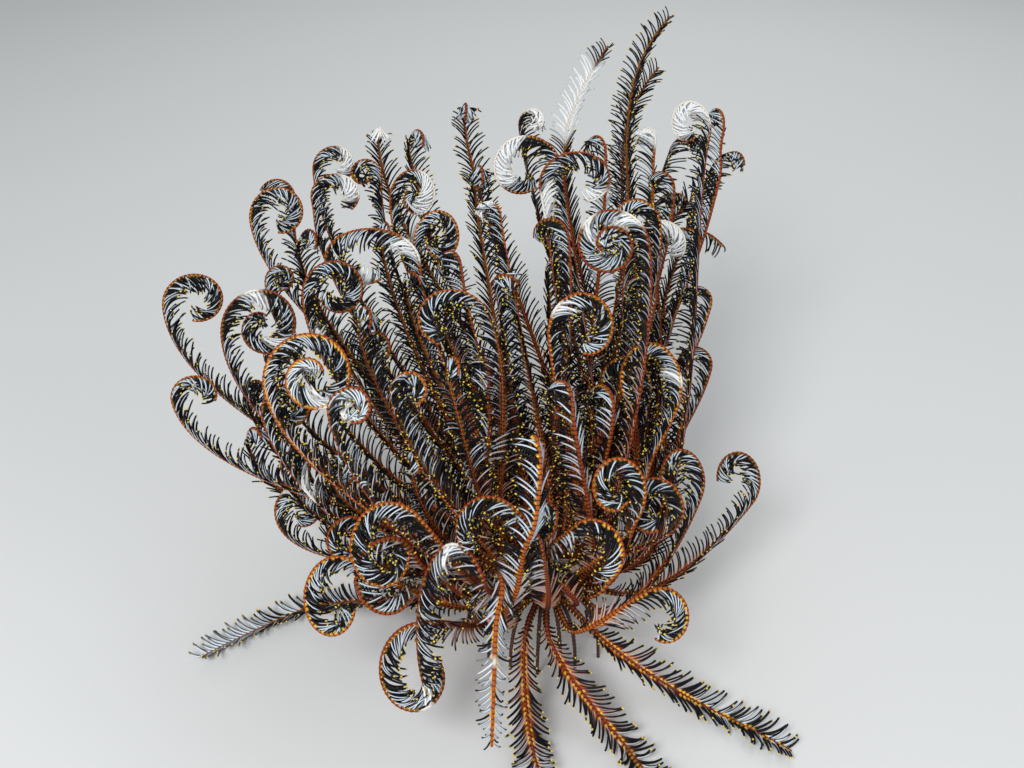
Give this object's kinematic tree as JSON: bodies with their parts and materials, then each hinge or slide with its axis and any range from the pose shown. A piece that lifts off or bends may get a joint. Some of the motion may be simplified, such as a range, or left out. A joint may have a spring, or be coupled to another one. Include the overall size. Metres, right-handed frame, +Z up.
{
  "type": "bottlebrush feather star",
  "caption": "Still, life-size feather star standing on its cirri, its many feathery arms fanned up and curled in at the tips.",
  "frame": {"origin": "on the floor under the middle of the whole animal's box", "axes": "+Z up; -Y towards the viewer of the picture, +X to that viewer's right"},
  "size_m": [0.2156, 0.2884, 0.1742],
  "materials": {
    "arm": "matt, rust-orange back with near-black, white-faced and yellow-tipped pinnules",
    "ray": "matt, dark rust",
    "calyx": "matt, brown",
    "oral_disc": "moist, near-black brown"
  },
  "bodies": {
    "root": {"arm_far_1": "arm", "arm_far_2": "arm", "arm_far_3": "arm", "arm_floor_front_1": "arm", "arm_floor_front_2": "arm", "arm_floor_front_3": "arm", "arm_floor_left_1": "arm", "arm_floor_rear_1": "arm", "arm_floor_rear_2": "arm", "arm_front_1": "arm", "arm_front_2": "arm", "arm_front_3": "arm", "arm_front_4": "arm", "arm_front_5": "arm", "arm_front_6": "arm", "arm_left_1": "arm", "arm_left_2": "arm", "arm_left_3": "arm", "arm_left_4": "arm", "arm_left_5": "arm", "arm_low_left_1": "arm", "arm_low_left_2": "arm", "arm_low_left_3": "arm", "arm_low_left_4": "arm", "arm_low_right_1": "arm", "arm_middle_1": "arm", "arm_middle_2": "arm", "arm_middle_3": "arm", "arm_middle_4": "arm", "arm_middle_5": "arm", "arm_middle_6": "arm", "arm_right_1": "arm", "arm_right_2": "arm", "arm_right_3": "arm", "arm_right_4": "arm", "arm_right_5": "arm", "arm_right_6": "arm", "arm_upper_left_1": "arm", "arm_upper_left_2": "arm", "arm_upper_left_3": "arm", "arm_upper_left_4": "arm", "arm_upper_left_5": "arm", "arm_upper_left_6": "arm", "arm_upper_left_7": "arm", "arm_upper_left_8": "arm", "arm_upper_mid_1": "arm", "arm_upper_mid_2": "arm", "arm_upper_mid_3": "arm", "arm_upper_mid_4": "arm", "arm_upper_mid_5": "arm", "arm_upper_right_1": "arm", "arm_upper_right_2": "arm", "arm_upper_right_3": "arm", "calyx": "calyx", "oral_disc": "oral_disc", "ray_1": "ray", "ray_2": "ray", "ray_3": "ray", "ray_4": "ray", "ray_5": "ray"}
  },
  "joints": []
}
